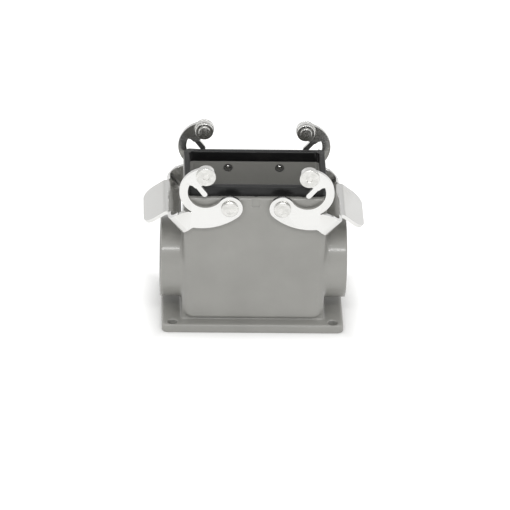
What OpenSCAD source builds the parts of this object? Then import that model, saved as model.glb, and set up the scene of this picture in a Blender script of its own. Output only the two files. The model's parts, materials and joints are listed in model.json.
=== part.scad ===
// Surface-mounting base housing for a rectangular multi-pole connector.
// Cast shell with two end cable entries, a standing rim gasket and two sheet-steel locking levers.
// Origin: bottom centre of the mounting flange. X runs along the housing, Z is up.

/* [Mounting flange] */
// Length of the flange
flange_l = 93; // [92:0.5:98]
// Depth of the flange
flange_w = 53; // [52:0.5:58]
// Thickness of the flange
flange_t = 4.6; // [3.5:0.1:6]
// Corner radius of the flange
flange_r = 2.5; // [1:0.5:4]
// Hole spacing along the housing
hole_dx = 82; // [80:0.5:83]
// Hole spacing across the housing
hole_dy = 46.6; // [44:0.2:47]
// Diameter of the four flange holes
hole_d = 5; // [4.5:0.1:5.5]

/* [Shell] */
// Height of the metal rim
body_h = 76.4; // [76:0.2:79]
// Length of the shell at the rim
body_l = 72.4; // [71:0.2:74]
// Extra length of the shell at the flange, from the casting draft
body_draft = 0.6; // [0.2:0.2:3]
// Depth of the shell
body_w = 44.6; // [44:0.2:46]
// Radius of the shell's upright corners
body_r = 4; // [3:0.5:5]
// Wall thickness below the collar
wall = 3; // [2.5:0.1:3.5]
// Thickness of the closed floor
floor_t = 3.6; // [3:0.1:5]

/* [Opening] */
// Length of the opening that takes the contact insert
open_l = 65; // [64:0.5:66]
// Depth of the opening that takes the contact insert
open_w = 34.6; // [34:0.1:35]
// Depth of the collar below the rim
collar_h = 15.3; // [13:0.1:17]
// Length over the rim gasket
gasket_l = 72; // [70:0.2:72.4]
// Depth over the rim gasket
gasket_w = 39.6; // [39:0.2:41]
// Width of the gasket's standing wall
gasket_wall = 3; // [2.4:0.1:3]
// Height of the gasket above the metal rim
gasket_h = 5.6; // [4:0.1:6.5]
// Insert screw spacing along the housing
insert_dx = 57; // [56:0.5:58]
// Insert screw spacing across the housing
insert_dy = 27; // [26:0.5:27]

/* [Cable entries] */
// Height of the entry axis
entry_z = 30.4; // [27:0.2:31]
// Outer radius of the entry boss
boss_r = 20.8; // [20:0.2:21.5]
// Length of the housing over both entry bosses
boss_l = 95; // [93:0.5:98]
// Root radius of the M32 x 1.5 entry thread
entry_r = 15.2; // [12:0.1:16]

/* [Levers] */
// Distance between the pivots of the two levers
pivot_dx = 26.4; // [26:0.2:27]
// Height of the pivots
pivot_z = 72.2; // [71:0.2:73]
// Thickness of the lever sheet
sheet_t = 2; // [1.6:0.1:2]
// Gap between the shell wall and a lever arm
arm_gap = 1.1; // [1:0.1:1.4]
// Radius of the round lobe at the pivot
lobe_r = 6.5; // [6:0.1:7]
// Distance from the pivot to the outer face of the bridge
bridge_n = 28.8; // [28.6:0.1:29.2]
// Tilt of the bridge from upright when the lever is open
bridge_tilt = 39; // [38:1:40]
// Width of the thumb tab
tab_w = 33; // [22:1:36]
// Length of the thumb tab beyond its bend
tab_l = 11.8; // [8:0.2:14]
// Angle that the right lever lies further open than the left one
right_extra = 2.5; // [0:0.5:4]
// Radius of the locking rollers
roller_r = 4.6; // [4.2:0.1:4.9]

/* [Hidden] */

$fn = 96;
eps = 0.01;
cast_grey = [0.62, 0.61, 0.59];
steel = [0.9, 0.9, 0.89];
rubber = [0.1, 0.1, 0.1];

wall_y = body_w / 2;
collar_z = body_h - collar_h;
post_drop = 3;
post_h = 12;
screw_depth = 9;
screw_r = 1.65;
cavity_r = 3;
opening_r = 2.5;
half_open = open_w / 2;

// Notch in the front wall
notch_w = 4.4;
notch_h = 4.4;
notch_d = 0.5;
notch_z = 73.6;

// Running fits
pocket_r = 2.4;
journal_r = 3;
tail_r = 1.5;
run_gap = 0.05;
side_gap = 0.3;

// Pegs that hold the gasket in blind holes of the rim
peg_r = 0.8;
peg_h = 2.4;
peg_gap = 0.1;
peg_dx = 24;
peg_dy = 18.6;
gasket_r = 3.6;
gasket_r_in = 2;

// Lever: the arms lie just outside the walls, on a washer
arm_in = wall_y + arm_gap;
arm_out = arm_in + sheet_t;
washer_t = arm_gap - side_gap;
washer_r = 4.1;
head_t = 1.2;
head_r = 4.3;

// Hook of the lever, measured from the pivot
hook_x = -12.3;
hook_z = 9.5;
hook_out = 13.4;
hook_in = 9.1;
roller_x = -12.4;
roller_z = 18.4;
roller_boss = 4.9;
roller_t = 1.4;
pin_r = 1.5;
pin_head_r = 5;
pin_head_t = 1.1;
pin_dimple_r = 1.6;
pin_end_r = 3;
pin_end_t = 0.5;

// Under-edge of the lever arm, an arc that meets the lobe smoothly
under_x = -14.2;
under_z = 17.7;
under_r = norm([under_x, under_z]) + lobe_r;

// Bridge, measured along its own tilted height
bridge_low = 3;
bridge_top = 14;
relief_top = 4.9;
relief_w = 45.6;
relief_r = 1.2;
bend_in = 3;
bend_out = bend_in + sheet_t;
tab_start = 11;
tab_bend_in = 2.4;
tab_bend = 86;
tab_r = 6.5;
tab_lap = 0.2;
tab_coin = 0.02;

// ---------- small helpers ----------

module rounded_rect(l, w, r) {
  square([l - 2 * r, w], center = true);
  square([l, w - 2 * r], center = true);
  for (x = [-1, 1], y = [-1, 1])
    translate([x * (l / 2 - r), y * (w / 2 - r)]) circle(r);
}

module rounded_slab(l, w, r, z0, z1) {
  translate([0, 0, z0]) linear_extrude(z1 - z0) rounded_rect(l, w, r);
}

// A cylinder along Y between two stations
module y_rod(r, y0, y1) {
  translate([0, y0, 0]) rotate([-90, 0, 0]) cylinder(r = r, h = y1 - y0);
}

// A ring along Y between two stations
module y_ring(r_in, r_out, y0, y1) {
  difference() {
    y_rod(r_out, y0, y1);
    y_rod(r_in, y0 - 1, y1 + 1);
  }
}

// ---------- cast housing ----------

// Shell outline seen from the front, with drafted ends
module shell_solid() {
  top = body_l / 2;
  foot = (body_l + body_draft) / 2;
  intersection() {
    rounded_slab(body_l + body_draft, body_w, body_r, 1, body_h);
    translate([0, wall_y, 0]) rotate([90, 0, 0]) linear_extrude(body_w)
      polygon([[-foot, 0], [foot, 0], [top, body_h], [-top, body_h]]);
  }
}

// Raised pads of the long walls end above the flange with large round corners
module foot_relief(side) {
  relief_h = 2;
  relief_d = 1.9;
  corner = 6.5;
  l = body_l + body_draft + 2;
  translate([0, side * wall_y, flange_t])
    rotate([90, 0, 0]) translate([0, 0, -relief_d])
      linear_extrude(2 * relief_d) difference() {
        translate([-l / 2, 0]) square([l, relief_h + corner]);
        translate([0, relief_h + corner + 10]) rounded_rect(body_l + body_draft, 20 + 2 * corner, corner);
      }
}

module entry_boss() {
  rotate([0, 90, 0]) cylinder(r = boss_r, h = boss_l, center = true);
}

// Post for one insert screw, tied to the end wall and the long wall
module insert_post() {
  post_r = 4;
  translate([0, 0, collar_z - post_drop - post_h]) {
    cylinder(r = post_r, h = post_h);
    translate([0, -post_r, 0]) cube([2 * post_r, 2 * post_r, post_h]);
    translate([-post_r, 0, 0]) cube([2 * post_r, 2 * post_r, post_h]);
  }
}

module insert_screw_hole() {
  translate([0, 0, collar_z - post_drop - screw_depth]) cylinder(r = screw_r, h = post_h);
}

module at_insert_corners() {
  for (x = [0, 1], y = [0, 1])
    mirror([x, 0, 0]) mirror([0, y, 0]) translate([insert_dx / 2, insert_dy / 2, 0]) children();
}

module at_pivots() {
  for (x = [-1, 1]) translate([x * pivot_dx / 2, 0, pivot_z]) children();
}

module housing_body() {
  inner_l = body_l - 2 * wall;
  inner_w = body_w - 2 * wall;
  color(cast_grey) difference() {
    union() {
      rounded_slab(flange_l, flange_w, flange_r, 0, flange_t);
      difference() {
        union() {
          shell_solid();
          translate([0, 0, entry_z]) entry_boss();
        }
        for (side = [-1, 1]) foot_relief(side);
        difference() {
          rounded_slab(inner_l, inner_w, cavity_r, floor_t, collar_z);
          at_insert_corners() insert_post();
        }
      }
    }
    // Opening for the insert, and the cable entries
    rounded_slab(open_l, open_w, opening_r, collar_z - 1, body_h + 1);
    translate([0, 0, entry_z]) rotate([0, 90, 0]) cylinder(r = entry_r, h = boss_l + 2, center = true);
    at_insert_corners() insert_screw_hole();
    at_gasket_pegs() gasket_peg(peg_r + peg_gap, peg_h + 3 * peg_gap);
    // Flange holes
    for (x = [-1, 1], y = [-1, 1])
      translate([x * hole_dx / 2, y * hole_dy / 2, -1]) cylinder(d = hole_d, h = flange_t + 2);
    // Pivot bores with a seal pocket on the inside
    at_pivots() {
      y_rod(tail_r + run_gap, -wall_y - 1, wall_y + 1);
      y_rod(pocket_r, -half_open - 1, half_open + 1);
    }
    // Shallow square notch in the middle of the front wall
    translate([-notch_w / 2, -wall_y - 1, notch_z - notch_h / 2]) cube([notch_w, 1 + notch_d, notch_h]);
  }
}

// ---------- rim gasket ----------

module at_gasket_pegs() {
  for (x = [-1, 0, 1], y = [-1, 1])
    translate([x * peg_dx, y * peg_dy, 0]) children();
}

module gasket_peg(r, h) {
  translate([0, 0, body_h - h]) cylinder(r = r, h = h + eps, $fn = 48);
}

module rim_gasket() {
  inner_l = gasket_l - 2 * gasket_wall;
  inner_w = gasket_w - 2 * gasket_wall;
  color(rubber) {
    difference() {
      rounded_slab(gasket_l, gasket_w, gasket_r, body_h, body_h + gasket_h);
      rounded_slab(inner_l, inner_w, gasket_r_in, body_h - 1, body_h + gasket_h + 1);
    }
    at_gasket_pegs() gasket_peg(peg_r, peg_h);
  }
}

// ---------- pivots ----------

// A pivot part is drawn for the back wall and turned round for the front wall
module at_pivot(x_side, y_side) {
  translate([x_side * pivot_dx / 2, 0, pivot_z]) rotate([0, 0, y_side > 0 ? 0 : 180]) children();
}

module pivot_stud() {
  color(steel) union() {
    y_rod(tail_r, half_open + 0.4, wall_y + 1);
    y_rod(journal_r, wall_y, arm_out + side_gap);
    y_rod(head_r, arm_out + side_gap - eps, arm_out + side_gap + head_t);
  }
}

module pivot_washer() {
  color(steel) y_ring(journal_r + run_gap, washer_r, wall_y, wall_y + washer_t);
}

module pivot_seal() {
  color(rubber) y_ring(tail_r + run_gap, pocket_r - run_gap, half_open + 0.2, half_open + 1);
}

// ---------- levers ----------

// Outline of one arm, drawn for the left lever with the pivot at the origin
module arm_outline() {
  difference() {
    union() {
      difference() {
        union() {
          circle(lobe_r);
          // Arm between the lobe and the bridge
          intersection() {
            translate([under_x, under_z]) circle(under_r, $fn = 240);
            polygon([[0, 0], [4.5, -5.6], [4.5, -14], [-19.5, -14], [-19.5, 5], [-4.9, 4.3]]);
          }
          // Hook
          intersection() {
            translate([hook_x, hook_z]) circle(hook_out);
            translate([-30, -6]) square([30 + hook_x, 40]);
          }
          bridge_end_outline();
        }
        translate([hook_x, hook_z]) circle(hook_in);
      }
      hook_head_outline();
      finger_outline();
      translate([roller_x, roller_z]) circle(roller_boss);
    }
    circle(journal_r + run_gap);
    translate([roller_x, roller_z]) circle(pin_r);
  }
}

// Fill between the hook and the roller
module hook_head_outline() {
  intersection() {
    translate([hook_x, hook_z]) circle(hook_out);
    polygon([[-21.6, 13.6], [-19.2, 12.9], [-17.6, 11.4], [-14.2, 12.9], [roller_x, roller_z],
             [roller_x, 30], [-32, 30]]);
  }
}

// Finger that points back towards the pivot
module finger_outline() {
  tip = [-12.9, 8.1];
  root = [-17, 13.4];
  w = 2.7;
  translate(tip) circle(w / 2);
  turn = atan2(root[1] - tip[1], root[0] - tip[0]);
  translate(tip) rotate(turn) translate([0, -w / 2]) square([norm(root - tip), w]);
}

// End of the arm, up to just past the start of the bend
module bridge_end_outline() {
  overlap = 0.6;
  reach = 40;
  intersection() {
    polygon([[-17.5, -3], [-20.8, -1.9], [-24.2, -2.7], [-27.3, -4.4], [-31.4, -6.9],
             [-24.7, -15.4], [-22.2, -13.8], [-19.8, -11.7], [-17.5, -11.1]]);
    rotate(90 + bridge_tilt) translate([-reach, 0]) square([2 * reach, bridge_n - bend_out + overlap]);
  }
}

// Channel of bends and bridge, seen along its tilted height
module bridge_section() {
  x_out = -bridge_n;
  x_bend = x_out + bend_out;
  corner_y = arm_out - bend_out;
  lap = 1.5;
  translate([x_out, -corner_y]) square([sheet_t, 2 * corner_y]);
  for (side = [-1, 1]) {
    translate([x_bend, side * (arm_out - sheet_t / 2) - sheet_t / 2]) square([lap, sheet_t]);
    intersection() {
      translate([x_bend, side * corner_y]) difference() {
        circle(bend_out);
        circle(bend_in);
      }
      translate([x_out, side > 0 ? corner_y : -arm_out]) square([bend_out, bend_out]);
    }
  }
}

// Thumb tab with rounded outer corners, seen on the flat
module tab_outline() {
  translate([-tab_w / 2, -tab_lap]) square([tab_w, tab_l - tab_r + tab_lap]);
  translate([-tab_w / 2 + tab_r, 0]) square([tab_w - 2 * tab_r, tab_l]);
  for (side = [-1, 1]) translate([side * (tab_w / 2 - tab_r), tab_l - tab_r]) circle(tab_r);
}

// Bend and blade of the thumb tab, in the tilted frame of the bridge
// The blade is coined a little thinner than the bend that it laps into
module thumb_tab() {
  translate([-bridge_n - tab_bend_in, tab_w / 2, tab_start]) rotate([90, 0, 0]) {
    rotate_extrude(angle = tab_bend) translate([tab_bend_in, 0]) square([sheet_t, tab_w]);
    rotate([0, 0, tab_bend]) translate([tab_bend_in + tab_coin, 0, tab_w / 2]) rotate([0, 90, 0])
      linear_extrude(sheet_t - 2 * tab_coin) tab_outline();
  }
}

// Lever at the origin, in the open position of the left lever
module lever() {
  color(steel) union() {
    for (y = [-arm_in, arm_out])
      translate([0, y, 0]) rotate([90, 0, 0]) linear_extrude(sheet_t) arm_outline();
    rotate([0, -bridge_tilt, 0]) {
      difference() {
        translate([0, 0, bridge_low]) linear_extrude(bridge_top - bridge_low) bridge_section();
        translate([-bridge_n - 1, -tab_w / 2 - 0.5, tab_start])
          cube([sheet_t + 2, tab_w + 1, bridge_top]);
        // Lower edge of the bridge is set back, so that it clears the shell when open
        translate([-bridge_n - 1, 0, bridge_low]) rotate([0, 90, 0])
          linear_extrude(4) rounded_rect(2 * (relief_top - bridge_low), relief_w, relief_r);
      }
      thumb_tab();
    }
  }
}

// Places its children on the left or right lever, turned to its open position
module on_lever(x_side) {
  if (x_side < 0) translate([-pivot_dx / 2, 0, pivot_z]) children();
  else translate([pivot_dx / 2, 0, pivot_z]) rotate([0, right_extra, 0]) mirror([1, 0, 0]) children();
}

module at_roller(x_side, y_side) {
  on_lever(x_side) translate([roller_x, 0, roller_z]) rotate([0, 0, y_side > 0 ? 0 : 180]) children();
}

// Roller on the inner face of the arm
module roller() {
  y1 = arm_in - side_gap;
  color(steel) y_ring(pin_r + run_gap, roller_r, y1 - roller_t, y1);
}

// Rivet with a dimpled disc head on the outer face and a flat end inside the roller
module roller_pin() {
  y0 = arm_in - 2 * side_gap - roller_t;
  y1 = arm_out + pin_head_t;
  color(steel) difference() {
    union() {
      y_rod(pin_head_r, arm_out, y1);
      y_rod(pin_r, y0 - eps, arm_out + eps);
      y_rod(pin_end_r, y0 - pin_end_t, y0);
    }
    y_rod(pin_dimple_r, y1 - 0.5, y1 + 1);
  }
}

// ---------- assembly ----------

housing_body();
rim_gasket();
on_lever(-1) lever();  // lever_left
on_lever(1) lever();  // lever_right
at_pivot(-1, -1) pivot_stud();  // pivot_stud_left_front
at_pivot(-1, 1) pivot_stud();  // pivot_stud_left_back
at_pivot(1, -1) pivot_stud();  // pivot_stud_right_front
at_pivot(1, 1) pivot_stud();  // pivot_stud_right_back
at_pivot(-1, -1) pivot_washer();  // pivot_washer_left_front
at_pivot(-1, 1) pivot_washer();  // pivot_washer_left_back
at_pivot(1, -1) pivot_washer();  // pivot_washer_right_front
at_pivot(1, 1) pivot_washer();  // pivot_washer_right_back
at_pivot(-1, -1) pivot_seal();  // pivot_seal_left_front
at_pivot(-1, 1) pivot_seal();  // pivot_seal_left_back
at_pivot(1, -1) pivot_seal();  // pivot_seal_right_front
at_pivot(1, 1) pivot_seal();  // pivot_seal_right_back
at_roller(-1, -1) roller();  // roller_left_front
at_roller(-1, 1) roller();  // roller_left_back
at_roller(1, -1) roller();  // roller_right_front
at_roller(1, 1) roller();  // roller_right_back
at_roller(-1, -1) roller_pin();  // roller_pin_left_front
at_roller(-1, 1) roller_pin();  // roller_pin_left_back
at_roller(1, -1) roller_pin();  // roller_pin_right_front
at_roller(1, 1) roller_pin();  // roller_pin_right_back
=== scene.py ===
"""Looks of the connector base housing: camera, studio, materials and finished meshes."""

import json
import math

import bmesh
import bpy
from mathutils import Matrix, Vector


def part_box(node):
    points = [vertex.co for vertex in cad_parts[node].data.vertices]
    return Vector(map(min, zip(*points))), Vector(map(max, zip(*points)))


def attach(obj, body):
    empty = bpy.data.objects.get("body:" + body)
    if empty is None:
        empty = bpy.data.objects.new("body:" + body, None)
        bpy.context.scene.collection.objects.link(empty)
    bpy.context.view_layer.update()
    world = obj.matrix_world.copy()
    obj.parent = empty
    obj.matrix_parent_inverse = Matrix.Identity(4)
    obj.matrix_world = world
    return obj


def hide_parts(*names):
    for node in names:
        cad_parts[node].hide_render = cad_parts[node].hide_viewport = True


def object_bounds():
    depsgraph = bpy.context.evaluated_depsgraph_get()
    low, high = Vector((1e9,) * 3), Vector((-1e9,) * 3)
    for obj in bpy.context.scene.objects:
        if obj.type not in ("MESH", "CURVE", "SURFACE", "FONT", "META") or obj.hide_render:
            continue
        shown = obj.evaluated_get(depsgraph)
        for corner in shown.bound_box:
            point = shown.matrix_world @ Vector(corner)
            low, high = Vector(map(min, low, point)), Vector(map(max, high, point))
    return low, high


MM = 0.001
OPENING_HALF_Y = 17.3 * MM  # half the width of the opening inside the collar

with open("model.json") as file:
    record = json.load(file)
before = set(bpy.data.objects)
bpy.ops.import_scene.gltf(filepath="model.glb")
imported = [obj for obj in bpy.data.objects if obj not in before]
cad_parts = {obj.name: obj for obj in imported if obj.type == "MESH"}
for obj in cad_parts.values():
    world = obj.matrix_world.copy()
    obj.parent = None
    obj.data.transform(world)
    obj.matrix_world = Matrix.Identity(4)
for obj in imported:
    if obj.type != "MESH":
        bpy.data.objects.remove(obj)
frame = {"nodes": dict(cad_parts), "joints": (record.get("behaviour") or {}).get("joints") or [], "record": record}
cad_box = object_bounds()
scene = bpy.context.scene


# ---------------------------------------------------------------- studio

def make_camera():
    """A long lens in front of the housing, a little above it."""
    azimuth = math.radians(2.41)
    elevation = math.radians(29.99)
    roll = math.radians(-1.67)
    distance = 2.44
    pixels_per_metre = 1950.0
    frame_width = 510.0
    target = Vector((0.0, 0.0, 0.035))
    target_right = -2.28 / pixels_per_metre
    target_up = 7.12 / pixels_per_metre

    forward = Vector((math.sin(azimuth) * math.cos(elevation),
                      math.cos(azimuth) * math.cos(elevation),
                      -math.sin(elevation)))
    right = Vector((math.cos(azimuth), -math.sin(azimuth), 0.0))
    up = right.cross(forward)
    place = target - forward * distance - right * target_right - up * target_up
    tilted_right = right * math.cos(roll) - up * math.sin(roll)
    tilted_up = right * math.sin(roll) + up * math.cos(roll)

    data = bpy.data.cameras.new("photo_camera")
    data.sensor_width = 36.0
    data.lens = pixels_per_metre * distance * data.sensor_width / frame_width
    data.clip_start = 0.1
    data.clip_end = 50.0
    camera = bpy.data.objects.new("photo_camera", data)
    camera.matrix_world = Matrix((
        (tilted_right.x, tilted_up.x, -forward.x, place.x),
        (tilted_right.y, tilted_up.y, -forward.y, place.y),
        (tilted_right.z, tilted_up.z, -forward.z, place.z),
        (0.0, 0.0, 0.0, 1.0)))
    scene.collection.objects.link(camera)
    scene.camera = camera


def make_world():
    """A light tent: bright all round, darker overhead, white behind the object."""
    world = bpy.data.worlds.new("light_tent")
    scene.world = world
    world.use_nodes = True
    tree = world.node_tree
    tree.nodes.clear()
    coords = tree.nodes.new("ShaderNodeTexCoord")
    split = tree.nodes.new("ShaderNodeSeparateXYZ")
    ramp = tree.nodes.new("ShaderNodeValToRGB")
    lit = tree.nodes.new("ShaderNodeBackground")
    plain = tree.nodes.new("ShaderNodeBackground")
    rays = tree.nodes.new("ShaderNodeLightPath")
    mix = tree.nodes.new("ShaderNodeMixShader")
    out = tree.nodes.new("ShaderNodeOutputWorld")
    height = tree.nodes.new("ShaderNodeMapRange")
    height.inputs["From Min"].default_value = -1.0
    height.inputs["From Max"].default_value = 1.0
    stops = ramp.color_ramp
    stops.elements[0].position = 0.0
    stops.elements[0].color = (0.95, 0.95, 0.95, 1.0)
    stops.elements[1].position = 1.0
    stops.elements[1].color = (1.0, 1.0, 1.0, 1.0)
    for position, level in ((0.6, 0.85), (0.72, 0.6), (0.85, 0.7), (0.93, 1.0)):
        stops.elements.new(position).color = (level, level, level, 1.0)
    plain.inputs["Color"].default_value = (1.0, 1.0, 1.0, 1.0)
    plain.inputs["Strength"].default_value = 1.0
    lit.inputs["Strength"].default_value = 1.0
    links = tree.links
    links.new(coords.outputs["Generated"], split.inputs["Vector"])
    links.new(split.outputs["Z"], height.inputs["Value"])
    links.new(height.outputs["Result"], ramp.inputs["Fac"])
    links.new(ramp.outputs["Color"], lit.inputs["Color"])
    links.new(rays.outputs["Is Camera Ray"], mix.inputs["Fac"])
    links.new(lit.outputs["Background"], mix.inputs[1])
    links.new(plain.outputs["Background"], mix.inputs[2])
    links.new(mix.outputs["Shader"], out.inputs["Surface"])
    scene.view_settings.view_transform = "Standard"
    scene.view_settings.look = "None"


def make_lights():
    """A long, narrow strip box above and in front, aimed at the middle of the housing."""
    place = Vector((0.0, -0.98, 1.13))
    middle = Vector((0.0, 0.0, 0.04))
    data = bpy.data.lights.new("strip_box", "AREA")
    data.shape = "RECTANGLE"
    data.size = 1.3
    data.size_y = 0.1
    data.energy = 6.6
    lamp = bpy.data.objects.new("strip_box", data)
    lamp.location = place
    lamp.rotation_euler = (middle - place).to_track_quat("-Z", "Y").to_euler()
    scene.collection.objects.link(lamp)


def glow_outside_flange(tree, bsdf):
    """The floor glows to look white, mostly to the camera alone, and fades out beside the flange: a painted
    contact shadow, dark under the flange.
    """
    fade_start = -3.0 * MM
    fade_end = 12.0 * MM
    camera_glow = 0.32
    light_glow = 0.1

    def math_node(how, first, second):
        node = tree.nodes.new("ShaderNodeMath")
        node.operation = how
        for socket, value in ((node.inputs[0], first), (node.inputs[1], second)):
            if isinstance(value, float):
                socket.default_value = value
            else:
                tree.links.new(value, socket)
        return node.outputs["Value"]

    coords = tree.nodes.new("ShaderNodeNewGeometry")
    split = tree.nodes.new("ShaderNodeSeparateXYZ")
    tree.links.new(coords.outputs["Position"], split.inputs["Vector"])
    low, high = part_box("housing_body")
    beside_x = math_node("SUBTRACT", math_node("ABSOLUTE", split.outputs["X"], 0.0), high.x)
    beside_y = math_node("SUBTRACT", math_node("ABSOLUTE", split.outputs["Y"], 0.0), high.y)
    beside = math_node("MAXIMUM", beside_x, beside_y)
    # Painted contact shadow: the glow fades from full at 12 mm outside the flange to nothing 3 mm under it.
    fade = tree.nodes.new("ShaderNodeMapRange")
    fade.inputs["From Min"].default_value = fade_start
    fade.inputs["From Max"].default_value = fade_end
    tree.links.new(beside, fade.inputs["Value"])
    rays = tree.nodes.new("ShaderNodeLightPath")
    seen = math_node("MULTIPLY", rays.outputs["Is Camera Ray"], camera_glow)
    glow = math_node("ADD", seen, light_glow)
    strength = math_node("MULTIPLY", fade.outputs["Result"], glow)
    tree.links.new(strength, bsdf.inputs["Emission Strength"])


def make_floor():
    """A large matt white floor just under the housing."""
    mesh = bpy.data.meshes.new("studio_floor")
    half = 6.0
    gap = 0.0001
    corners = [(-half, -half, 0.0), (half, -half, 0.0), (half, half, 0.0), (-half, half, 0.0)]
    mesh.from_pydata(corners, [], [(0, 1, 2, 3)])
    floor = bpy.data.objects.new("studio_floor", mesh)
    floor.location.z = cad_box[0][2] - gap
    scene.collection.objects.link(floor)
    material = bpy.data.materials.new("studio_floor")
    material.use_nodes = True
    bsdf = material.node_tree.nodes["Principled BSDF"]
    bsdf.inputs["Base Color"].default_value = (0.9, 0.9, 0.895, 1.0)
    bsdf.inputs["Roughness"].default_value = 0.9
    bsdf.inputs["Specular IOR Level"].default_value = 0.1
    bsdf.inputs["Emission Color"].default_value = (1.0, 1.0, 0.995, 1.0)
    glow_outside_flange(material.node_tree, bsdf)
    mesh.materials.append(material)


# ---------------------------------------------------------------- materials

class Shader:
    """A small helper that builds one node material."""

    def __init__(self, name, colour, roughness, metallic=0.0, specular=0.5):
        self.material = bpy.data.materials.new(name)
        self.material.use_nodes = True
        self.tree = self.material.node_tree
        self.bsdf = self.tree.nodes["Principled BSDF"]
        self.bsdf.inputs["Base Color"].default_value = (*colour, 1.0)
        self.bsdf.inputs["Roughness"].default_value = roughness
        self.bsdf.inputs["Metallic"].default_value = metallic
        self.bsdf.inputs["Specular IOR Level"].default_value = specular
        coords = self.tree.nodes.new("ShaderNodeTexCoord")
        self.place = coords.outputs["Object"]
        self.normal = None

    def link(self, out, into):
        """Joins an output to an input."""
        self.tree.links.new(out, into)

    def stretched(self, scale):
        """Object coordinates scaled by a different amount along each axis."""
        node = self.tree.nodes.new("ShaderNodeMapping")
        node.inputs["Scale"].default_value = scale
        self.link(self.place, node.inputs["Vector"])
        return node.outputs["Vector"]

    def noise(self, scale, detail=3.0, vector=None, rough=0.5):
        """Fractal noise in object coordinates, or along the vector given."""
        node = self.tree.nodes.new("ShaderNodeTexNoise")
        node.inputs["Scale"].default_value = scale
        node.inputs["Detail"].default_value = detail
        node.inputs["Roughness"].default_value = rough
        self.link(vector or self.place, node.inputs["Vector"])
        return node.outputs["Fac"]

    def spread(self, value, low, high, to_low=0.0, to_high=1.0):
        """Maps value from low..high to to_low..to_high, held at both ends."""
        node = self.tree.nodes.new("ShaderNodeMapRange")
        node.inputs["From Min"].default_value = low
        node.inputs["From Max"].default_value = high
        node.inputs["To Min"].default_value = to_low
        node.inputs["To Max"].default_value = to_high
        self.link(value, node.inputs["Value"])
        return node.outputs["Result"]

    def combine(self, a, b, how="MULTIPLY"):
        """One sum on two values. The second is a number or another node's output."""
        node = self.tree.nodes.new("ShaderNodeMath")
        node.operation = how
        self.link(a, node.inputs[0])
        if isinstance(b, float):
            node.inputs[1].default_value = b
        else:
            self.link(b, node.inputs[1])
        return node.outputs["Value"]

    def mix(self, factor, first, second):
        """Blends two colours; each is a colour or another node's output."""
        node = self.tree.nodes.new("ShaderNodeMix")
        node.data_type = "RGBA"
        self.link(factor, node.inputs[0])
        for socket, value in ((node.inputs[6], first), (node.inputs[7], second)):
            if isinstance(value, tuple):
                socket.default_value = (*value, 1.0)
            else:
                self.link(value, socket)
        return node.outputs[2]

    def bump(self, height, distance, strength=1.0):
        """Adds a bump on top of the bumps added before it."""
        node = self.tree.nodes.new("ShaderNodeBump")
        node.inputs["Distance"].default_value = distance
        node.inputs["Strength"].default_value = strength
        self.link(height, node.inputs["Height"])
        if self.normal:
            self.link(self.normal, node.inputs["Normal"])
        self.normal = node.outputs["Normal"]
        self.link(self.normal, self.bsdf.inputs["Normal"])

    def edges(self):
        """Rises from 0 to 1 on outward edges and corners."""
        node = self.tree.nodes.new("ShaderNodeNewGeometry")
        return self.spread(node.outputs["Pointiness"], 0.515, 0.56)

    def painted_hollow_shade(self):
        """Rises from 0 to 1 in inward corners, where painted shade goes."""
        node = self.tree.nodes.new("ShaderNodeNewGeometry")
        return self.spread(node.outputs["Pointiness"], 0.485, 0.44)

    def colour(self, out):
        """Drives the base colour."""
        self.link(out, self.bsdf.inputs["Base Color"])

    def roughness(self, out):
        """Drives the roughness."""
        self.link(out, self.bsdf.inputs["Roughness"])


def powder_coat():
    """Warm grey powder coat with a glossy top: orange peel, fine speckle, and a painted highlight on outward
    edges.
    """
    s = Shader("powder_coat", (0.29, 0.286, 0.268), 0.42, specular=0.35)
    s.bsdf.inputs["Coat Weight"].default_value = 0.8
    s.bsdf.inputs["Coat Roughness"].default_value = 0.17
    clouds = s.spread(s.noise(42.0, 4.0), 0.3, 0.7)
    base = s.mix(clouds, (0.272, 0.269, 0.251), (0.309, 0.305, 0.286))
    speckle = s.spread(s.noise(5200.0, 2.0), 0.56, 0.74)
    base = s.mix(s.combine(speckle, 0.22), base, (0.47, 0.465, 0.44))
    pits = s.spread(s.noise(3100.0, 2.0), 0.66, 0.76)
    base = s.mix(s.combine(pits, 0.35), base, (0.17, 0.167, 0.155))
    # Painted highlight: lighter paint on outward edges, broken into patches by noise.
    painted_edge_highlight = s.combine(s.edges(), s.spread(s.noise(260.0, 5.0), 0.42, 0.62))
    base = s.mix(s.combine(painted_edge_highlight, 0.45), base, (0.48, 0.475, 0.455))
    s.colour(base)
    s.roughness(s.spread(s.noise(900.0, 4.0), 0.3, 0.7, 0.36, 0.5))
    s.bump(s.noise(1300.0, 2.0), 0.00004, 0.55)
    s.bump(s.noise(5200.0, 2.0), 0.000012, 0.5)
    s.bump(s.noise(60.0, 2.0), 0.00025, 0.35)
    return s.material


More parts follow.
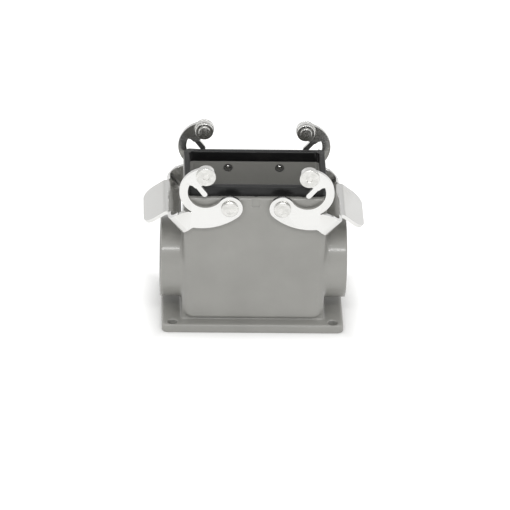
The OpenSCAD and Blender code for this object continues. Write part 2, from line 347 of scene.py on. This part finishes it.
def lever_steel():
    """Bright stainless sheet: long rolling grain, faint smudges, burnished edges."""
    s = Shader("lever_steel", (0.83, 0.825, 0.805), 0.2, metallic=1.0)
    grain = s.noise(260.0, 5.0, s.stretched((1.0, 4.0, 14.0)), 0.65)
    smudge = s.spread(s.noise(70.0, 4.0), 0.35, 0.68)
    tone = s.mix(grain, (0.77, 0.765, 0.745), (0.87, 0.865, 0.845))
    tone = s.mix(s.combine(smudge, 0.25), tone, (0.73, 0.72, 0.695))
    tone = s.mix(s.combine(s.edges(), 0.6), tone, (0.93, 0.93, 0.92))
    s.colour(tone)
    rough = s.combine(s.spread(grain, 0.3, 0.7, 0.15, 0.24), s.combine(smudge, 0.07), "ADD")
    s.roughness(rough)
    s.bump(grain, 0.000012, 0.45)
    s.bump(s.noise(110.0, 2.0), 0.00005, 0.25)
    # Shading only: tilts the normals by about 7 degrees along X, towards the middle of
    # the housing. The sheet itself stays flat, and no shape in the CAD has this tilt
    away = s.tree.nodes.new("ShaderNodeSeparateXYZ")
    s.link(s.place, away.inputs["Vector"])
    lean = s.combine(s.combine(away.outputs["X"], 0.0, "ABSOLUTE"), 0.12)
    s.bump(lean, 1.0)
    return s.material


def turned_steel(name, tone_low, tone_high, rough_low, rough_high):
    """Turned and riveted steel: patchy tone, a light peened grain and painted shade in the corners."""
    s = Shader(name, tone_high, rough_low, metallic=1.0)
    grain = s.noise(2600.0, 3.0)
    patches = s.spread(s.noise(500.0, 3.0), 0.35, 0.65)
    tone = s.mix(patches, tone_low, tone_high)
    tone = s.mix(s.combine(s.edges(), 0.5), tone, (0.94, 0.94, 0.93))
    # Painted shade: darker in inward corners and hollows.
    tone = s.mix(s.combine(s.painted_hollow_shade(), 0.55), tone, (0.30, 0.295, 0.28))
    s.colour(tone)
    s.roughness(s.spread(patches, 0.0, 1.0, rough_low, rough_high))
    s.bump(grain, 0.00001, 0.4)
    return s.material


def black_rubber():
    """Moulded nitrile rubber: smooth and faintly shiny, dusty in patches, fine grain."""
    s = Shader("black_rubber", (0.012, 0.012, 0.012), 0.34, specular=0.4)
    dust = s.spread(s.noise(120.0, 5.0), 0.5, 0.75)
    s.colour(s.mix(s.combine(dust, 0.35), (0.009, 0.009, 0.0095), (0.03, 0.029, 0.028)))
    s.roughness(s.spread(dust, 0.0, 1.0, 0.3, 0.45))
    s.bump(s.noise(3500.0, 2.0), 0.00002, 0.6)
    return s.material


def grey_rubber():
    """Small wiper seals: grey rubber, dulled by dust."""
    s = Shader("grey_rubber", (0.10, 0.10, 0.096), 0.6, specular=0.35)
    dust = s.spread(s.noise(900.0, 4.0), 0.4, 0.7)
    s.colour(s.mix(dust, (0.085, 0.085, 0.082), (0.14, 0.138, 0.13)))
    s.roughness(s.spread(dust, 0.0, 1.0, 0.5, 0.75))
    s.bump(s.noise(3500.0, 2.0), 0.00002, 0.5)
    return s.material


# ---------------------------------------------------------------- mesh tools

def add_object(name, mesh):
    """Puts a mesh into the scene as a new object."""
    piece = bpy.data.objects.new(name, mesh)
    scene.collection.objects.link(piece)
    return piece


def apply_modifiers(piece):
    """Bakes the modifier stack into the piece's own mesh."""
    graph = bpy.context.evaluated_depsgraph_get()
    result = bpy.data.meshes.new_from_object(piece.evaluated_get(graph))
    old = piece.data
    piece.modifiers.clear()
    piece.data = result
    bpy.data.meshes.remove(old)


def boolean(piece, tool, operation):
    """Cuts or joins with another mesh object, which is then removed."""
    cut = piece.modifiers.new("cut", "BOOLEAN")
    cut.operation = operation
    cut.solver = "MANIFOLD"
    cut.object = tool
    apply_modifiers(piece)
    mesh = tool.data
    bpy.data.objects.remove(tool)
    bpy.data.meshes.remove(mesh)


def lathe(name, profile, centre, axis, steps=64):
    """A closed solid of revolution. profile lists (along, radius) from one end to the other.
    A profile that starts and ends off the axis is closed into a tube if its ends line up with
    a bore, and capped flat if it is a plain shaft."""
    axis = Vector(axis).normalized()
    side = axis.orthogonal().normalized()
    other = axis.cross(side)
    bm = bmesh.new()
    rings = []
    for along, radius in profile:
        foot = Vector(centre) + axis * along
        if radius == 0.0:
            rings.append([bm.verts.new(foot)] * steps)
            continue
        ring = []
        for i in range(steps):
            turn = 2.0 * math.pi * i / steps
            out = side * math.cos(turn) + other * math.sin(turn)
            ring.append(bm.verts.new(foot + out * radius))
        rings.append(ring)
    pairs = list(zip(rings, rings[1:]))
    hollow = profile[0][1] > 0.0 and profile[0][1] == profile[-1][1] and len(profile) > 3
    if hollow:
        pairs.append((rings[-1], rings[0]))
    for a, b in pairs:
        for i in range(steps):
            j = (i + 1) % steps
            corners = list(dict.fromkeys((a[i], a[j], b[j], b[i])))
            bm.faces.new(corners)
    if not hollow:
        for ring in (rings[0], rings[-1]):
            if ring[0] is not ring[1]:
                bm.faces.new(ring)
    bmesh.ops.recalc_face_normals(bm, faces=bm.faces)
    mesh = bpy.data.meshes.new(name)
    bm.to_mesh(mesh)
    bm.free()
    return add_object(name, mesh)


def smooth_by_angle(piece, degrees):
    """Shades smooth everywhere except over edges sharper than the angle."""
    mesh = piece.data
    for face in mesh.polygons:
        face.use_smooth = True
    mesh.set_sharp_from_angle(angle=math.radians(degrees))


def clean_copy(node, name, weld=0.001 * MM, whole_faces=False):
    """A welded copy of a CAD node's mesh, with its flat faces made whole if asked."""
    mesh = frame["nodes"][node].data.copy()
    mesh.materials.clear()
    bm = bmesh.new()
    bm.from_mesh(mesh)
    bmesh.ops.remove_doubles(bm, verts=bm.verts, dist=0.001 * MM)
    bmesh.ops.remove_doubles(bm, verts=bm.verts, dist=weld)
    if whole_faces:
        bmesh.ops.dissolve_degenerate(bm, edges=bm.edges, dist=weld)
        bmesh.ops.dissolve_limit(bm, angle_limit=math.radians(0.2), verts=bm.verts, edges=bm.edges)
    for edge in bm.edges:
        edge.smooth = True
    bm.to_mesh(mesh)
    bm.free()
    return add_object(name, mesh)


def finish_piece(piece, node, body, material):
    """Gives a piece its material and puts it in place of a CAD node."""
    piece.data.materials.clear()
    piece.data.materials.append(material)
    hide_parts(node)
    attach(piece, body)


def mark_edges(piece, width, angle):
    """Marks the edges sharper than the angle, unless a face beside them is narrower than the roll.

    The facets of small rounded corners are narrower than that, so edges there stay unrolled."""
    room = 1.2

    def wide(face):
        """Whether the face's mean width leaves room for the roll."""
        longest = max(edge.calc_length() for edge in face.edges)
        return face.calc_area() > room * width * longest

    bm = bmesh.new()
    bm.from_mesh(piece.data)
    weights = bm.edges.layers.float.new("bevel_weight_edge")
    for edge in bm.edges:
        if len(edge.link_faces) != 2 or edge.calc_face_angle() < math.radians(angle):
            continue
        if all(wide(face) for face in edge.link_faces):
            edge[weights] = 1.0
    bm.to_mesh(piece.data)
    bm.free()


def round_edges(piece, width, segments, angle=35.0):
    """Rolls the edges that mark_edges finds."""
    mark_edges(piece, width, angle)
    bevel = piece.modifiers.new("edges", "BEVEL")
    bevel.width = width
    bevel.segments = segments
    bevel.limit_method = "WEIGHT"
    bevel.use_clamp_overlap = False
    bevel.miter_outer = "MITER_SHARP"
    apply_modifiers(piece)
    smooth_by_angle(piece, 32.0)
    # Large flat faces set the shading, so that the rolled edges don't bend it
    weighted = piece.modifiers.new("normals", "WEIGHTED_NORMAL")
    weighted.mode = "FACE_AREA"
    weighted.weight = 100
    weighted.keep_sharp = True
    apply_modifiers(piece)


def filleted(profile, arc_steps=5):
    """Rounds the corners of a profile of (along, radius, corner radius) points."""
    out = []
    last = len(profile) - 1
    for i, (along, radius, corner) in enumerate(profile):
        here = Vector((along, radius))
        if corner == 0.0 or i in (0, last):
            out.append((along, radius))
            continue
        back = (Vector(profile[i - 1][:2]) - here).normalized()
        ahead = (Vector(profile[i + 1][:2]) - here).normalized()
        half = back.angle(ahead) / 2.0
        reach = corner / math.tan(half)
        centre = here + (back + ahead).normalized() * (corner / math.sin(half))
        start = here + back * reach - centre
        end = here + ahead * reach - centre
        for k in range(arc_steps + 1):
            spoke = start.lerp(end, k / arc_steps).normalized() * corner
            out.append(tuple(centre + spoke))
    return out


def turned_part(node, name, profile):
    """A turned part on a CAD node's own centre line. profile is in mm, from the node's inner end."""
    low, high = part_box(node)
    outward = 1.0 if high.y + low.y > 0.0 else -1.0
    inner_end = low.y if outward > 0.0 else high.y
    centre = Vector(((low.x + high.x) / 2.0, inner_end, (low.z + high.z) / 2.0))
    points = [(along * MM, radius * MM) for along, radius in filleted(profile)]
    piece = lathe(name, points, centre, (0.0, outward, 0.0), 96)
    smooth_by_angle(piece, 32.0)
    return piece


# ---------------------------------------------------------------- the casting

RECORD = frame["record"]
MOUNTS = {m["name"]: m for m in RECORD["mounts"]}
JOINTS = {j["name"]: j for j in frame["joints"]}
ENTRY = MOUNTS["cable_entry_right"]
ENTRY_Z = ENTRY["pos_m"][2]
ENTRY_R = ENTRY["dims"]["r_mm"] * MM
PIVOTS = [Vector(JOINTS[f"lever_{side}_swing"]["pos_m"]) for side in ("left", "right")]


def corner_points(mount):
    """The four hole centres of a rectangular bolt pattern."""
    centre = Vector(mount["pos_m"])
    half_x = mount["dims"]["spacing_x_mm"] * MM / 2
    half_y = mount["dims"]["spacing_y_mm"] * MM / 2
    return [centre + Vector((sx * half_x, sy * half_y, 0.0)) for sx in (-1, 1) for sy in (-1, 1)]


def smooth_casting(piece):
    """Rounds every edge a little, and fills the corners between bosses and shell more."""
    mesh = piece.data
    shell_end = 36.4 * MM
    flange_ends = 44.0 * MM
    fillet_reach = 4.0 * MM
    fillet_low = 7.0 * MM
    fillet_high = 54.0 * MM
    group = piece.vertex_groups.new(name="fillet")
    rim = piece.vertex_groups.new(name="rim")
    flange_top = MOUNTS["flange_holes"]["pos_m"][2]
    half_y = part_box("housing_body")[1].y
    for vertex in mesh.vertices:
        co = vertex.co
        if 1.5 * MM < co.z < flange_top + 0.5 * MM:
            if abs(co.x) > flange_ends or abs(co.y) > half_y - 2.5 * MM:
                rim.add([vertex.index], 1.0, "REPLACE")
        near = max(0.0, 1.0 - abs(abs(co.x) - shell_end) / fillet_reach)
        outside = abs(co.y) > 9.0 * MM or co.z > ENTRY_Z + 17.0 * MM
        if near > 0.0 and outside and fillet_low < co.z < fillet_high:
            group.add([vertex.index], near, "REPLACE")
    wide = piece.modifiers.new("fillets", "SMOOTH")
    wide.vertex_group = "fillet"
    wide.iterations = 46
    wide.factor = 0.5
    rolled = piece.modifiers.new("rolled", "SMOOTH")
    rolled.vertex_group = "rim"
    rolled.iterations = 22
    rolled.factor = 0.5
    fine = piece.modifiers.new("edges", "SMOOTH")
    fine.iterations = 7
    fine.factor = 0.5
    thin = piece.modifiers.new("thin", "DECIMATE")
    thin.ratio = 0.3
    apply_modifiers(piece)
    piece.vertex_groups.clear()


def cut_notch(piece):
    """The shallow square notch in the middle of the front wall."""
    side = 4.4 * MM
    deep = 0.5 * MM
    above_pivots = 1.4 * MM
    centre_z = PIVOTS[0].z + above_pivots
    front = -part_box("pivot_washer_left_front")[1].y
    mesh = bpy.data.meshes.new("notch")
    bm = bmesh.new()
    bmesh.ops.create_cube(bm, size=1.0)
    bmesh.ops.bevel(bm, geom=bm.edges, offset=0.08, segments=3, affect="EDGES", profile=0.5)
    for vertex in bm.verts:
        x, y, z = vertex.co
        vertex.co = (x * side, y * 2.0 * deep - front, z * side + centre_z)
    bm.to_mesh(mesh)
    bm.free()
    boolean(piece, add_object("notch", mesh), "DIFFERENCE")


def machined_cuts(piece):
    """Drills and bores made after casting, each with a small lead-in."""
    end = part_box("housing_body")[1].x
    chamfer = 0.35 * MM
    flange = MOUNTS["flange_holes"]
    radius = flange["dims"]["hole_r_mm"] * MM
    top = flange["pos_m"][2]
    for point in corner_points(flange):
        profile = [(-1 * MM, radius), (top - chamfer, radius),
                   (top + 3 * chamfer, radius + 4 * chamfer)]
        boolean(piece, lathe("drill", profile, (point.x, point.y, 0.0), (0, 0, 1)), "DIFFERENCE")
    screws = MOUNTS["insert_screws"]
    radius = screws["dims"]["hole_r_mm"] * MM
    for point in corner_points(screws):
        profile = [(-9 * MM, radius), (-chamfer, radius), (3 * chamfer, radius + 4 * chamfer)]
        boolean(piece, lathe("drill", profile, point, (0, 0, 1), 40), "DIFFERENCE")
    wall_in = -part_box("pivot_seal_left_front")[1].y
    pocket_floor = -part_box("pivot_seal_left_front")[0].y
    wall_out = -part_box("pivot_washer_left_front")[1].y
    pocket_radius = 2.4 * MM
    bore_radius = 1.55 * MM
    for pivot in PIVOTS:
        for sign in (-1, 1):
            profile = [(wall_in - 2 * MM, pocket_radius), (pocket_floor, pocket_radius),
                       (pocket_floor, bore_radius), (wall_out + 2 * MM, bore_radius)]
            boolean(piece, lathe("drill", profile, pivot, (0, sign, 0), 48), "DIFFERENCE")
    cut_notch(piece)
    inside = 31 * MM
    recess = 35 * MM
    deep = 0.85 * MM
    for sign in (-1, 1):
        profile = [(inside, ENTRY_R), (recess, ENTRY_R), (recess + deep, ENTRY_R + deep),
                   (end - 2.2 * MM, ENTRY_R + deep), (end + 0.5 * MM, ENTRY_R + 2.2 * deep)]
        boolean(piece, lathe("drill", profile, (0, 0, ENTRY_Z), (sign, 0, 0), 128), "DIFFERENCE")


def make_casting(material):
    """The cast housing: the CAD shape with softened edges and its holes cut again."""
    piece = clean_copy("housing_body", "cast_housing")
    # Fill the machined holes first, so that only the casting itself is softened
    inset = 0.02 * MM
    flange_plug = 3.2 * MM
    screw_plug = 2.2 * MM
    pivot_plug = 3.0 * MM
    plugs = []
    for point in corner_points(MOUNTS["flange_holes"]):
        profile = [(inset, flange_plug), (point.z - inset, flange_plug)]
        plugs.append(lathe("plug", profile, (point.x, point.y, 0.0), (0, 0, 1), 32))
    for point in corner_points(MOUNTS["insert_screws"]):
        profile = [(-9.5 * MM, screw_plug), (-inset, screw_plug)]
        plugs.append(lathe("plug", profile, point, (0, 0, 1), 32))
    wall_out = abs(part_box("pivot_washer_left_front")[1].y)
    for pivot in PIVOTS:
        for sign in (-1, 1):
            profile = [(OPENING_HALF_Y + inset, pivot_plug), (wall_out - inset, pivot_plug)]
            plugs.append(lathe("plug", profile, pivot, (0, sign, 0), 32))
    for plug in plugs:
        boolean(piece, plug, "UNION")
    voxels = piece.modifiers.new("voxels", "REMESH")
    voxels.mode = "VOXEL"
    voxels.voxel_size = 0.5 * MM
    apply_modifiers(piece)
    smooth_casting(piece)
    machined_cuts(piece)
    smooth_by_angle(piece, 40.0)
    finish_piece(piece, "housing_body", "housing", material)


def make_entry_thread(side, material):
    """The internal thread of one cable entry: a helical ridge on a thin sleeve."""
    sign = -1 if side == "left" else 1
    pitch = 1.5 * MM
    depth = 0.8 * MM
    start = 36.2 * MM
    turns = 6
    steps = 96
    outer = ENTRY_R + depth + 0.12 * MM
    bm = bmesh.new()
    rows = []
    for i in range(turns * steps + 1):
        angle = 2.0 * math.pi * i / steps
        along = start + pitch * i / steps
        fade = min(1.0, i / (0.3 * steps), (turns * steps - i) / (0.3 * steps))
        crest = ENTRY_R + depth * (1.0 - fade) + 0.02 * MM
        flank = ENTRY_R + depth
        shape = [(0.0, outer), (0.12, flank), (0.44, crest),
                 (0.56, crest), (0.88, flank), (1.0, outer)]
        ring = []
        for step, radius in shape:
            x = sign * (along + step * pitch)
            ring.append(bm.verts.new((x, radius * math.cos(angle), ENTRY_Z + radius * math.sin(angle))))
        rows.append(ring)
    count = len(rows[0])
    for a, b in zip(rows, rows[1:]):
        for k in range(count):
            n = (k + 1) % count
            bm.faces.new((a[k], a[n], b[n], b[k]))
    bm.faces.new(rows[0][::-1])
    bm.faces.new(rows[-1])
    bmesh.ops.recalc_face_normals(bm, faces=bm.faces)
    mesh = bpy.data.meshes.new(f"entry_thread_{side}")
    bm.to_mesh(mesh)
    bm.free()
    piece = add_object(f"entry_thread_{side}", mesh)
    piece.data.materials.append(material)
    smooth_by_angle(piece, 25.0)
    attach(piece, "housing")


# ---------------------------------------------------------------- assembly

make_camera()
make_world()
make_lights()
make_floor()

coat = powder_coat()
sheet_metal = lever_steel()
rubber = black_rubber()
wiper = grey_rubber()
rivet = turned_steel("rivet_steel", (0.70, 0.695, 0.67), (0.84, 0.835, 0.81), 0.16, 0.3)
turned = turned_steel("roller_steel", (0.74, 0.735, 0.71), (0.86, 0.855, 0.83), 0.12, 0.22)

# Half sections of the turned parts in mm: distance from the inner end, radius, corner radius
STUD = [(0.0, 0.0, 0.0), (0.0, 1.5, 1.4), (4.6, 1.5, 0.0), (4.6, 3.0, 0.0), (8.0, 3.0, 0.0),
        (8.0, 4.3, 0.15), (9.2, 4.3, 0.75), (9.2, 2.4, 0.3), (9.05, 2.1, 0.3), (9.05, 0.0, 0.0)]
WASHER = [(0.0, 3.05, 0.0), (0.0, 4.1, 0.2), (0.8, 4.1, 0.2), (0.8, 3.05, 0.0)]
SEAL = [(0.0, 1.55, 0.0), (0.0, 2.35, 0.2), (0.8, 2.35, 0.2), (0.8, 1.55, 0.0)]
ROLLER = [(0.0, 1.55, 0.0), (0.0, 4.6, 0.3), (1.4, 4.6, 0.3), (1.4, 1.55, 0.0)]
RIVET = [(0.0, 0.0, 0.0), (0.0, 3.0, 0.25), (0.5, 3.0, 0.15), (0.5, 1.5, 0.0), (4.5, 1.5, 0.0),
         (4.5, 5.0, 0.2), (5.6, 5.0, 0.4), (5.6, 1.7, 0.12), (5.1, 1.6, 0.1), (5.1, 0.0, 0.0)]

make_casting(coat)
for side in ("left", "right"):
    make_entry_thread(side, coat)
    lever = clean_copy(f"lever_{side}", f"bent_lever_{side}", 0.1 * MM, True)
    round_edges(lever, 0.2 * MM, 2)
    finish_piece(lever, f"lever_{side}", f"lever_{side}", sheet_metal)
    for end in ("front", "back"):
        tail = f"{side}_{end}"
        for node, profile, body, slot, material in (
                ("pivot_stud", STUD, "housing", "rivet_steel", rivet),
                ("pivot_washer", WASHER, "housing", "rivet_steel", rivet),
                ("pivot_seal", SEAL, "housing", "gasket_rubber", wiper),
                ("roller", ROLLER, f"roller_{tail}", "roller_steel", turned),
                ("roller_pin", RIVET, f"lever_{side}", "rivet_steel", rivet)):
            part = turned_part(f"{node}_{tail}", f"{node}_{tail}_finished", profile)
            finish_piece(part, f"{node}_{tail}", body, material)
ring = clean_copy("rim_gasket", "moulded_gasket")
round_edges(ring, 0.7 * MM, 4)
finish_piece(ring, "rim_gasket", "housing", rubber)
